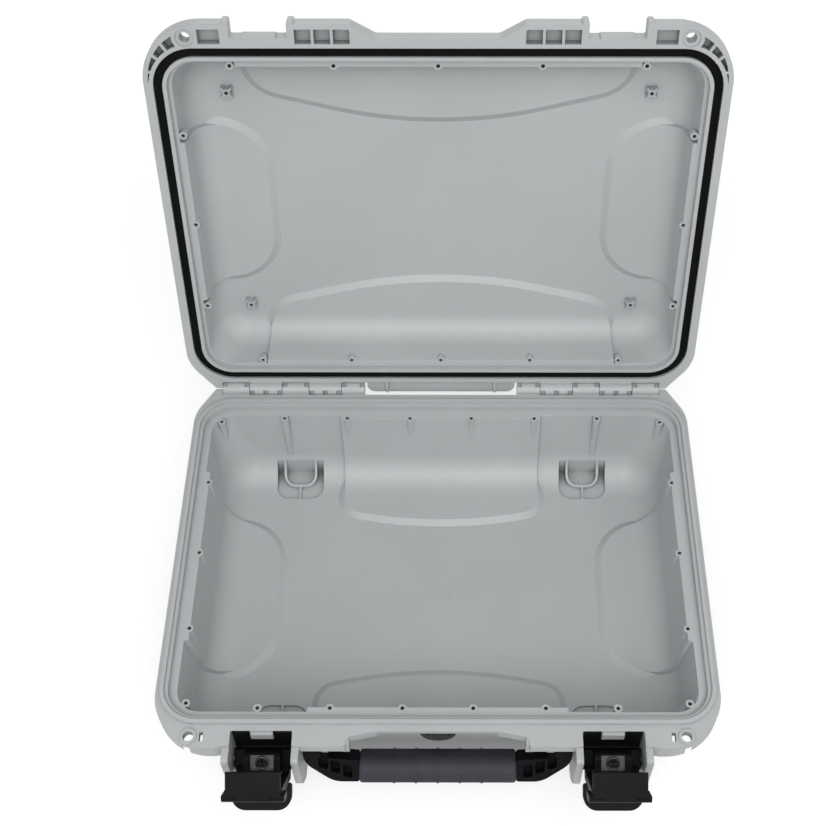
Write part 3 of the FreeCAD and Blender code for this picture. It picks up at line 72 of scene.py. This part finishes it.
class NodeSheet:
    """Node tree of one material, with short calls that add nodes and join them."""

    PATTERN_ROUGHNESS: float = 0.55
    PATTERN_LOW: float = 0.3
    PATTERN_HIGH: float = 0.7
    # Samples and opening level of the painted shade in slots and holes
    CREVICE_SHADE_SAMPLES: int = 6
    CREVICE_SHADE_OPEN: float = 0.55
    EDGE_SAMPLES: int = 4

    def __init__(self, name: str) -> None:
        """Starts a material with a plain shader.

        Args:
            name: the material's name.
        """
        self.material = bpy.data.materials.new(name)
        self.material.use_nodes = True
        self.tree = self.material.node_tree
        self.shader = self.tree.nodes["Principled BSDF"]
        self.output = self.tree.nodes["Material Output"]

    def add(self, kind: str, **values: float | tuple) -> bpy.types.Node:
        """Adds a node and sets its sockets.

        Args:
            kind: the node's type name.
            values: socket names, spaces written as underscores, and their values.

        Returns:
            The new node.
        """
        node = self.tree.nodes.new(kind)
        for socket, value in values.items():
            node.inputs[socket.replace("_", " ")].default_value = value
        return node

    def join(self, source: bpy.types.NodeSocket, target: bpy.types.NodeSocket) -> None:
        """Links two sockets."""
        self.tree.links.new(source, target)

    def place(self) -> bpy.types.NodeSocket:
        """Socket with the place on the object."""
        return self.add("ShaderNodeTexCoord").outputs["Object"]

    def noise(self, size: float, detail: float) -> bpy.types.NodeSocket:
        """Cloudy pattern of a real size.

        Args:
            size: width of one patch in metres.
            detail: number of finer layers.

        Returns:
            The pattern's value socket.
        """
        node = self.add("ShaderNodeTexNoise", Scale=1.0 / size, Detail=detail,
                        Roughness=self.PATTERN_ROUGHNESS)
        self.join(self.place(), node.inputs["Vector"])
        return node.outputs["Fac"]

    def spread(self, value: bpy.types.NodeSocket, low: float, high: float) -> bpy.types.NodeSocket:
        """Maps a pattern's middle range onto two limits.

        Args:
            value: pattern socket from 0 to 1.
            low: result at the pattern's dark end.
            high: result at the pattern's light end.

        Returns:
            The mapped socket.
        """
        node = self.add("ShaderNodeMapRange", From_Min=self.PATTERN_LOW, From_Max=self.PATTERN_HIGH,
                        To_Min=low, To_Max=high)
        self.join(value, node.inputs["Value"])
        return node.outputs["Result"]

    def shade_crevices(self, colour: bpy.types.NodeSocket, share: float,
                       reach: float) -> bpy.types.NodeSocket:
        """Paints shade into a colour in the narrow slots and holes of its own piece, from ambient
        occlusion.

        Args:
            colour: colour socket.
            share: part of the colour that the painted shade takes from the deepest places.
            reach: width in metres of the gaps that count as narrow.

        Returns:
            The shaded colour socket.
        """
        # Painted shade: ambient occlusion of the piece by itself darkens the colour
        occlusion = self.add("ShaderNodeAmbientOcclusion", Distance=reach)
        occlusion.samples = self.CREVICE_SHADE_SAMPLES
        occlusion.only_local = True
        level = self.add("ShaderNodeMapRange", From_Max=self.CREVICE_SHADE_OPEN, To_Min=1.0 - share, To_Max=1.0)
        self.join(occlusion.outputs["AO"], level.inputs["Value"])
        scale = self.add("ShaderNodeVectorMath")
        scale.operation = "SCALE"
        self.join(colour, scale.inputs[0])
        self.join(level.outputs["Result"], scale.inputs["Scale"])
        return scale.outputs["Vector"]

    def bump(self, height: bpy.types.NodeSocket, depth: float, strength: float, edge: float = 0.0) -> None:
        """Raises the shader's surface by a pattern and softens its sharp edges.

        Args:
            height: pattern socket.
            depth: height of the pattern in metres.
            strength: share of the effect.
            edge: radius of the softened edges in metres.
        """
        node = self.add("ShaderNodeBump", Strength=strength, Distance=depth)
        self.join(height, node.inputs["Height"])
        if edge:
            rounding = self.add("ShaderNodeBevel", Radius=edge)
            rounding.samples = self.EDGE_SAMPLES
            self.join(rounding.outputs["Normal"], node.inputs["Normal"])
        self.join(node.outputs["Normal"], self.shader.inputs["Normal"])


@dataclass(frozen=True)
class MouldedPlastic:
    """Moulded plastic with a spark-eroded grain, a faint flow mottle and, where asked, painted shade in its
    own slots and holes.
    """

    name: str
    light: Colour
    dark: Colour
    roughness: float
    grain: float = 0.0009
    grain_depth: float = 0.00006
    mottle: float = 0.09
    gloss: float = 0.5
    edge: float = 0.0006
    # Share of the colour taken by painted shade in the piece's own slots and holes, and the width of those
    # gaps
    crevice_shade: float = 0.0
    crevice_shade_reach: float = 0.012
    mottle_detail: float = 4.0
    grain_detail: float = 2.0
    grain_share: float = 0.35
    roughness_drop: float = 0.06
    roughness_rise: float = 0.08

    def material(self) -> bpy.types.Material:
        """Makes the finish's material.

        Returns:
            The node material.
        """
        sheet = NodeSheet(self.name)
        mix = sheet.add("ShaderNodeMix")
        mix.data_type = "RGBA"
        mottle = sheet.noise(self.mottle, self.mottle_detail)
        sheet.join(sheet.spread(mottle, 0.0, 1.0), mix.inputs["Factor"])
        mix.inputs[MIX_FIRST].default_value = (*self.dark, 1.0)
        mix.inputs[MIX_SECOND].default_value = (*self.light, 1.0)
        colour = mix.outputs[MIX_RESULT]
        # Painted shade: the colour darkens in the piece's own slots and holes
        if self.crevice_shade:
            colour = sheet.shade_crevices(colour, self.crevice_shade, self.crevice_shade_reach)
        sheet.join(colour, sheet.shader.inputs["Base Color"])
        sheet.shader.inputs["Specular IOR Level"].default_value = self.gloss
        grain = sheet.noise(self.grain, self.grain_detail)
        smoothest = self.roughness - self.roughness_drop
        roughest = self.roughness + self.roughness_rise
        sheet.join(sheet.spread(grain, smoothest, roughest), sheet.shader.inputs["Roughness"])
        sheet.bump(grain, self.grain_depth, self.grain_share, self.edge)
        return sheet.material


@dataclass(frozen=True)
class GroundSteel:
    """Bare steel rod ground round its length."""

    name: str
    colour: Colour
    line_scale: float = 600.0
    line_wander: float = 2.0
    line_detail: float = 2.0
    line_depth: float = 0.00002
    line_share: float = 0.2
    smoothest: float = 0.26
    roughest: float = 0.42

    def material(self) -> bpy.types.Material:
        """Makes the finish's material."""
        sheet = NodeSheet(self.name)
        sheet.shader.inputs["Metallic"].default_value = 1.0
        sheet.shader.inputs["Base Color"].default_value = (*self.colour, 1.0)
        wave = sheet.add("ShaderNodeTexWave", Scale=self.line_scale, Distortion=self.line_wander,
                         Detail=self.line_detail)
        sheet.join(sheet.place(), wave.inputs["Vector"])
        lines = wave.outputs["Fac"]
        sheet.join(sheet.spread(lines, self.smoothest, self.roughest), sheet.shader.inputs["Roughness"])
        sheet.bump(lines, self.line_depth, self.line_share)
        return sheet.material


# The shell's colour carries painted shade in its own slots and holes
SHELL = MouldedPlastic("shell_grey", light=(0.455, 0.474, 0.480), dark=(0.425, 0.443, 0.449),
                       roughness=0.44, crevice_shade=0.8)
LATCH_BLACK = MouldedPlastic("latch_black", light=(0.007, 0.007, 0.008), dark=(0.005, 0.005, 0.006),
                             roughness=0.40, grain=0.0007, grain_depth=0.00004, mottle=0.02, gloss=0.06)
HANDLE_BLACK = MouldedPlastic("handle_black", light=(0.007, 0.007, 0.008), dark=(0.005, 0.005, 0.006),
                              roughness=0.44, grain=0.0007, grain_depth=0.00004, mottle=0.02, gloss=0.06)
GRIP_SLATE = MouldedPlastic("grip_slate", light=(0.038, 0.038, 0.048), dark=(0.030, 0.030, 0.039),
                            roughness=0.60, grain=0.0005, grain_depth=0.00004, mottle=0.012, gloss=0.25,
                            edge=0.0)
GASKET_RUBBER = MouldedPlastic("gasket_rubber", light=(0.007, 0.007, 0.008), dark=(0.005, 0.005, 0.005),
                               roughness=0.75, grain=0.0006, grain_depth=0.00004, mottle=0.02, gloss=0.05)
RETAINER_GREY = MouldedPlastic("retainer_grey", light=(0.170, 0.172, 0.177), dark=(0.145, 0.146, 0.151),
                               roughness=0.4, grain=0.0007, grain_depth=0.00003, mottle=0.02, gloss=0.3)
VALVE_BLACK = MouldedPlastic("valve_black", light=(0.014, 0.014, 0.015), dark=(0.010, 0.010, 0.011),
                             roughness=0.45, grain=0.0006, grain_depth=0.00004, mottle=0.02, gloss=0.10)
SCREW_BLACK = MouldedPlastic("screw_black", light=(0.016, 0.016, 0.017), dark=(0.011, 0.011, 0.012),
                             roughness=0.20, grain=0.0004, grain_depth=0.00002, mottle=0.01, gloss=0.6,
                             edge=0.0)
PIN_STEEL = GroundSteel("pin_steel", (0.56, 0.56, 0.57))

NODE_FINISHES = {
    SHELL: ["base_shell", "lid_shell"],
    LATCH_BLACK: ["latch_lever_left", "latch_lever_right", "latch_claw_left", "latch_claw_right",
                  "latch_liner_left", "latch_liner_right"],
    HANDLE_BLACK: ["handle_frame"],
    GRIP_SLATE: ["handle_grip"],
    GASKET_RUBBER: ["lid_gasket", "pressure_valve_seal"],
    RETAINER_GREY: ["latch_retainer_left", "latch_retainer_right"],
    VALVE_BLACK: ["pressure_valve_body", "pressure_valve_cap", "pressure_valve_nut"],
    PIN_STEEL: ["hinge_pin_left", "hinge_pin_right", "handle_pin_left", "handle_pin_right",
                "latch_lever_pin_left", "latch_lever_pin_right", "latch_claw_pins_left",
                "latch_claw_pins_right"],
    SCREW_BLACK: ["latch_screw_left", "latch_screw_right"],
}
MATERIALS: dict[str, bpy.types.Material] = {}


def finish_material(finish: MouldedPlastic | GroundSteel) -> bpy.types.Material:
    """A finish's material, made once.

    Args:
        finish: the finish wanted.

    Returns:
        Its material.
    """
    if finish.name not in MATERIALS:
        MATERIALS[finish.name] = finish.material()
    return MATERIALS[finish.name]


def paint(piece: bpy.types.Object, finish: MouldedPlastic | GroundSteel) -> None:
    """Gives a piece one finish in place of whatever it has."""
    piece.data.materials.clear()
    piece.data.materials.append(finish_material(finish))


def dress_nodes() -> None:
    """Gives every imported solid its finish."""
    for finish, nodes in NODE_FINISHES.items():
        for node in nodes:
            paint(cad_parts[node], finish)
            log.info("dressed %s with %s", node, finish.name)


class Bench:
    """Hand tools that the modelled pieces share."""

    @staticmethod
    def only(piece: bpy.types.Object) -> None:
        """Selects one piece alone and makes it active."""
        bpy.ops.object.select_all(action="DESELECT")
        piece.select_set(True)
        bpy.context.view_layer.objects.active = piece

    @staticmethod
    def settle(piece: bpy.types.Object) -> None:
        """Puts a piece's place, turn and scale into its mesh."""
        Bench.only(piece)
        bpy.ops.object.transform_apply(location=True, rotation=True, scale=True)

    @staticmethod
    def block(name: str, size: tuple[float, float, float], place: Place) -> bpy.types.Object:
        """Adds a plain block to start from.

        Args:
            name: the new piece's name.
            size: its three lengths in metres.
            place: its centre.

        Returns:
            The block, with its size in its mesh.
        """
        bpy.ops.object.select_all(action="DESELECT")
        bpy.ops.mesh.primitive_cube_add(size=1.0, location=place)
        piece = bpy.context.object
        piece.name = name
        piece.scale = size
        Bench.settle(piece)
        return piece

    @staticmethod
    def disc(name: str, radius: float, height: float, place: Place, sides: int) -> bpy.types.Object:
        """Adds an upright cylinder to start from.

        Args:
            name: the new piece's name.
            radius: its radius in metres.
            height: its height in metres.
            place: middle of its lower face.
            sides: number of its side faces.

        Returns:
            The cylinder.
        """
        x, y, z = place
        bpy.ops.object.select_all(action="DESELECT")
        middle = (x, y, z + height / 2)
        bpy.ops.mesh.primitive_cylinder_add(vertices=sides, radius=radius, depth=height, location=middle)
        piece = bpy.context.object
        piece.name = name
        Bench.settle(piece)
        return piece

    @staticmethod
    def pick_faces(piece: bpy.types.Object, test: Callable[[bpy.types.MeshPolygon], bool]) -> None:
        """Opens a piece for editing with the faces that pass a test selected."""
        Bench.only(piece)
        bpy.ops.object.mode_set(mode="EDIT")
        bpy.ops.mesh.select_mode(type="FACE")
        bpy.ops.mesh.select_all(action="DESELECT")
        bpy.ops.object.mode_set(mode="OBJECT")
        for face in piece.data.polygons:
            face.select = test(face)
        bpy.ops.object.mode_set(mode="EDIT")

    @staticmethod
    def pick_edges(piece: bpy.types.Object, test: Callable[[Vector, Vector], bool]) -> None:
        """Opens a piece for editing with the edges whose two ends pass a test selected."""
        Bench.only(piece)
        bpy.ops.object.mode_set(mode="EDIT")
        bpy.ops.mesh.select_mode(type="EDGE")
        bpy.ops.mesh.select_all(action="DESELECT")
        bpy.ops.object.mode_set(mode="OBJECT")
        points = piece.data.vertices
        for edge in piece.data.edges:
            first, last = edge.vertices
            edge.select = test(points[first].co, points[last].co)
        bpy.ops.object.mode_set(mode="EDIT")

    @staticmethod
    def done() -> None:
        """Closes the piece that is open for editing."""
        bpy.ops.object.mode_set(mode="OBJECT")

    @staticmethod
    def cut(piece: bpy.types.Object, cutter: bpy.types.Object) -> None:
        """Takes a cutter's form out of a piece and throws the cutter away."""
        Bench.only(piece)
        change = piece.modifiers.new("cut", "BOOLEAN")
        change.operation = "DIFFERENCE"
        change.solver = "EXACT"
        change.object = cutter
        bpy.ops.object.modifier_apply(modifier=change.name)
        bpy.data.objects.remove(cutter)

    @staticmethod
    def face_out(piece: bpy.types.Object) -> None:
        """Turns all faces of a piece outwards."""
        Bench.pick_faces(piece, lambda face: True)
        bpy.ops.mesh.normals_make_consistent(inside=False)
        Bench.done()

    @staticmethod
    def smooth(piece: bpy.types.Object, degrees: float) -> None:
        """Shades a piece smooth except at sharp edges."""
        Bench.only(piece)
        bpy.ops.object.shade_smooth_by_angle(angle=math.radians(degrees))


@dataclass
class LatchScrew:
    """Cross-recessed screw in one latch's lever."""

    side: Side
    latch_x: float = 0.1095
    pivot: tuple[float, float] = (-0.138, 0.047)
    open_degrees: float = 55.0
    seat: float = 0.0112
    head_radius: float = 0.0043
    head_height: float = 0.0018
    dome: float = 0.0008
    shank_radius: float = 0.0015
    shank_length: float = 0.0062
    recess_length: float = 0.0050
    recess_width: float = 0.0012
    recess_depth: float = 0.0012
    head_sides: int = 40
    dome_steps: int = 4
    smooth_degrees: float = 35.0

    def build(self) -> bpy.types.Object:
        """Models the screw upright, then sets it on the open lever.

        Returns:
            The screw.
        """
        name = f"latch_screw_piece_{self.side.word}"
        screw = Bench.disc(name, self.head_radius, self.head_height, (0.0, 0.0, 0.0), self.head_sides)
        top = self.head_height
        Bench.pick_edges(screw, lambda a, b: a.z > top * NEARLY and b.z > top * NEARLY)
        bpy.ops.mesh.bevel(offset=self.dome, segments=self.dome_steps, profile=0.5, affect="EDGES")
        Bench.done()
        Bench.pick_faces(screw, lambda face: face.normal.z < -NEARLY)
        bpy.ops.mesh.inset(thickness=self.head_radius - self.shank_radius, depth=0.0)
        bpy.ops.mesh.extrude_region_move(TRANSFORM_OT_translate={"value": (0.0, 0.0, -self.shank_length)})
        Bench.done()
        for size in ((self.recess_length, self.recess_width), (self.recess_width, self.recess_length)):
            cutter = Bench.block("recess_cutter", (*size, 2.0 * self.recess_depth), (0.0, 0.0, top))
            Bench.cut(screw, cutter)
        angle = math.radians(self.open_degrees)
        y, z = self.pivot
        seat_y = y - self.seat * math.cos(angle)
        seat_z = z + self.seat * math.sin(angle)
        screw.rotation_euler = (math.pi / 2 - angle, 0.0, 0.0)
        screw.location = (self.side.value * self.latch_x, seat_y, seat_z)
        Bench.settle(screw)
        Bench.smooth(screw, self.smooth_degrees)
        return screw

    def dress(self, screw: bpy.types.Object) -> None:
        """Finishes the screw and puts it in place of the plain solid."""
        paint(screw, SCREW_BLACK)
        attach(screw, f"latch_lever_{self.side.word}")
        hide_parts(f"latch_screw_{self.side.word}")


@dataclass
class GripSleeve:
    """Soft ribbed sleeve on the folded handle."""

    pin: tuple[float, float] = (-0.129, 0.054)
    reach: float = 0.0194
    tilt_degrees: float = 31.0
    length: float = 0.0994
    thickness: float = 0.022
    depth: float = 0.0186
    corner: float = 0.009
    end_round: float = 0.0018
    ribs: int = 5
    rib_pitch: float = 0.0139
    rib_width: float = 0.0012
    rib_height: float = 0.0006
    core: tuple[float, float] = (0.0111, 0.0121)
    corner_steps: int = 10
    end_steps: int = 4
    smooth_degrees: float = 35.0

    def rib_places(self) -> list[float]:
        """Places of the ribs along the sleeve."""
        return [(index - (self.ribs - 1) / 2) * self.rib_pitch for index in range(self.ribs)]

    def raise_ribs(self, grip: bpy.types.Object) -> None:
        """Rings the sleeve with its ribs."""
        places = self.rib_places()
        for place in places:
            for edge in (place - self.rib_width / 2, place + self.rib_width / 2):
                Bench.pick_faces(grip, lambda face: True)
                bpy.ops.mesh.bisect(plane_co=(edge, 0.0, 0.0), plane_no=(1.0, 0.0, 0.0))
                Bench.done()
        half = self.rib_width / 2
        Bench.pick_faces(grip, lambda face: any(abs(face.center.x - place) < half for place in places))
        bpy.ops.mesh.extrude_region_shrink_fatten(TRANSFORM_OT_shrink_fatten={"value": self.rib_height})
        Bench.done()

    def build(self) -> bpy.types.Object:
        """Models the sleeve flat, then hangs it on the folded handle.

        Returns:
            The sleeve.
        """
        grip = Bench.block("handle_grip_piece", (self.length, self.thickness, self.depth), (0.0, 0.0, 0.0))
        Bench.pick_edges(grip, lambda a, b: abs(a.x - b.x) > self.length / 2)
        bpy.ops.mesh.bevel(offset=self.corner, segments=self.corner_steps, profile=0.5, affect="EDGES")
        Bench.done()
        end = self.length / 2 - HAIR
        Bench.pick_edges(grip, lambda a, b: abs(a.x) > end and abs(b.x) > end)
        bpy.ops.mesh.bevel(offset=self.end_round, segments=self.end_steps, profile=0.5, affect="EDGES")
        Bench.done()
        self.raise_ribs(grip)
        cutter = Bench.block("core_cutter", (2.0 * self.length, *self.core), (0.0, 0.0, 0.0))
        Bench.cut(grip, cutter)
        Bench.face_out(grip)
        tilt = math.radians(self.tilt_degrees)
        y, z = self.pin
        grip.rotation_euler = (-tilt, 0.0, 0.0)
        grip.location = (0.0, y - self.reach * math.sin(tilt), z - self.reach * math.cos(tilt))
        Bench.settle(grip)
        Bench.smooth(grip, self.smooth_degrees)
        return grip

    def dress(self, grip: bpy.types.Object) -> None:
        """Finishes the sleeve and puts it in place of the plain solid."""
        paint(grip, GRIP_SLATE)
        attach(grip, "handle")
        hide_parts("handle_grip")


@dataclass
class GateMark:
    """Trimmed sprue left by moulding on the base's floor."""

    place: Place = (0.007, 0.0, 0.0034)
    radius: float = 0.0016
    height: float = 0.0005
    dimple: float = 0.0003
    sides: int = 28
    ring_share: float = 0.35
    slope_share: float = 0.2
    smooth_degrees: float = 40.0

    def build(self) -> bpy.types.Object:
        """Models the mark as a low ring round a dimple.

        Returns:
            The mark.
        """
        mark = Bench.disc("gate_mark", self.radius, self.height, self.place, self.sides)
        Bench.pick_faces(mark, lambda face: face.normal.z > NEARLY)
        bpy.ops.mesh.inset(thickness=self.radius * self.ring_share, depth=0.0)
        bpy.ops.mesh.inset(thickness=self.radius * self.slope_share, depth=-self.dimple)
        Bench.done()
        Bench.smooth(mark, self.smooth_degrees)
        return mark

    def dress(self, mark: bpy.types.Object) -> None:
        """Finishes the mark as part of the base."""
        paint(mark, SHELL)
        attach(mark, "base")


@dataclass(frozen=True)
class SoftBox:
    """Square soft lamp, in metres and watts, turned to the point it aims at."""

    name: str
    place: Place
    aim: Place
    size: float
    watts: float

    def hang(self) -> None:
        """Adds the lamp to the scene."""
        data = bpy.data.lights.new(self.name, "AREA")
        data.shape = "SQUARE"
        data.size = self.size
        data.energy = self.watts
        light = bpy.data.objects.new(self.name, data)
        light.location = self.place
        back = Vector(self.place) - Vector(self.aim)
        light.rotation_euler = back.to_track_quat("Z", "Y").to_euler()
        bpy.context.scene.collection.objects.link(light)


SOFT_BOXES = (
    SoftBox("high_box", place=(0.0, -1.0, 1.6), aim=(0.0, 0.1, 0.15), size=1.2, watts=12.9),
    SoftBox("fill_box", place=(0.9, -0.35, 1.5), aim=(0.0, 0.05, 0.1), size=1.0, watts=3.0),
    SoftBox("front_box", place=(0.0, -1.35, 1.0), aim=(0.0, 0.18, 0.22), size=1.2, watts=8.3),
    SoftBox("left_box", place=(-1.6, -0.3, 0.9), aim=(0.0, 0.05, 0.1), size=1.0, watts=2.5),
    SoftBox("right_box", place=(1.6, -0.3, 0.9), aim=(0.0, 0.05, 0.1), size=1.0, watts=1.5),
    SoftBox("back_box", place=(0.0, 1.7, 1.1), aim=(0.0, 0.15, 0.15), size=1.2, watts=7.0),
)


@dataclass
class Studio:
    """White sweep, soft light and the camera at the photograph's place."""

    camera_place: Place = (0.0119, -0.44957, 0.84896)
    camera_tilt: float = 0.61780
    camera_turn: float = 0.00144
    lens: float = 57.46
    sensor: float = 36.0
    sight: float = 100.0
    shift: tuple[float, float] = (-0.0519, 0.0153)
    floor_span: float = 12.0
    floor_drop: float = 0.0005
    floor_grey: float = 0.42
    ambient: float = 0.35
    floor_glow: float = 0.67
    glow_start: float = 0.5
    glow_full: float = 1.3

    def place_camera(self) -> None:
        """Adds the camera and makes it the scene's own."""
        data = bpy.data.cameras.new("photo_camera")
        data.lens = self.lens
        data.sensor_width = self.sensor
        data.shift_x, data.shift_y = self.shift
        data.clip_end = self.sight
        camera = bpy.data.objects.new("photo_camera", data)
        camera.location = self.camera_place
        camera.rotation_euler = (self.camera_tilt, 0.0, self.camera_turn)
        bpy.context.scene.collection.objects.link(camera)
        bpy.context.scene.camera = camera

    def seen_directly(self, tree: bpy.types.NodeTree) -> bpy.types.NodeSocket:
        """Socket that is 1 for camera, glossy and transmission rays.

        Args:
            tree: node tree that gets the nodes.

        Returns:
            The socket.
        """
        path = tree.nodes.new("ShaderNodeLightPath")
        total = path.outputs["Is Camera Ray"]
        for ray in ("Is Glossy Ray", "Is Transmission Ray"):
            most = tree.nodes.new("ShaderNodeMath")
            most.operation = "MAXIMUM"
            tree.links.new(total, most.inputs[0])
            tree.links.new(path.outputs[ray], most.inputs[1])
            total = most.outputs[0]
        return total

    def light_world(self) -> None:
        """White background for the eye, plain ambient light for the object."""
        world = bpy.data.worlds.new("studio_air")
        world.use_nodes = True
        bpy.context.scene.world = world
        tree = world.node_tree
        background = tree.nodes["Background"]
        background.inputs["Color"].default_value = (1.0, 1.0, 1.0, 1.0)
        scale = tree.nodes.new("ShaderNodeMapRange")
        scale.inputs["To Min"].default_value = self.ambient
        scale.inputs["To Max"].default_value = 1.0
        tree.links.new(self.seen_directly(tree), scale.inputs["Value"])
        tree.links.new(scale.outputs["Result"], background.inputs["Strength"])

    def lay_floor(self) -> None:
        """White floor that keeps a soft shadow near the object and fades into the background."""
        bpy.ops.object.select_all(action="DESELECT")
        bpy.ops.mesh.primitive_plane_add(size=self.floor_span, location=(0.0, 0.0, -self.floor_drop))
        floor = bpy.context.object
        floor.name = "studio_floor"
        bpy.ops.object.transform_apply(location=True, rotation=True, scale=True)
        sheet = NodeSheet("floor_white")
        grey = self.floor_grey
        sheet.shader.inputs["Base Color"].default_value = (grey, grey, grey, 1.0)
        sheet.shader.inputs["Roughness"].default_value = 1.0
        sheet.shader.inputs["Specular IOR Level"].default_value = 0.0
        distance = sheet.add("ShaderNodeVectorMath")
        distance.operation = "LENGTH"
        sheet.join(sheet.place(), distance.inputs[0])
        spread = sheet.add("ShaderNodeMapRange", From_Min=self.glow_start, From_Max=self.glow_full,
                           To_Min=self.floor_glow, To_Max=1.0)
        sheet.join(distance.outputs["Value"], spread.inputs["Value"])
        strength = sheet.add("ShaderNodeMath")
        strength.operation = "MULTIPLY"
        sheet.join(self.seen_directly(sheet.tree), strength.inputs[0])
        sheet.join(spread.outputs["Result"], strength.inputs[1])
        glow = sheet.add("ShaderNodeEmission", Color=(1.0, 1.0, 1.0, 1.0))
        sheet.join(strength.outputs["Value"], glow.inputs["Strength"])
        both = sheet.add("ShaderNodeAddShader")
        sheet.join(sheet.shader.outputs["BSDF"], both.inputs[0])
        sheet.join(glow.outputs["Emission"], both.inputs[1])
        sheet.join(both.outputs["Shader"], sheet.output.inputs["Surface"])
        floor.data.materials.append(sheet.material)

    def build(self) -> None:
        """Sets camera, light, floor and colour handling."""
        bpy.context.scene.view_settings.view_transform = "Standard"
        self.place_camera()
        self.light_world()
        for box in SOFT_BOXES:
            box.hang()
        self.lay_floor()


def main() -> None:
    """Builds the looks in order."""
    logging.basicConfig(level=logging.INFO, format="%(name)s %(message)s")
    dress_nodes()
    fittings = [LatchScrew(Side.LEFT), LatchScrew(Side.RIGHT), GripSleeve(), GateMark()]
    for fitting in fittings:
        piece = fitting.build()
        fitting.dress(piece)
        log.info("fitted %s", piece.name)
    Studio().build()


if __name__ == "__main__":
    main()
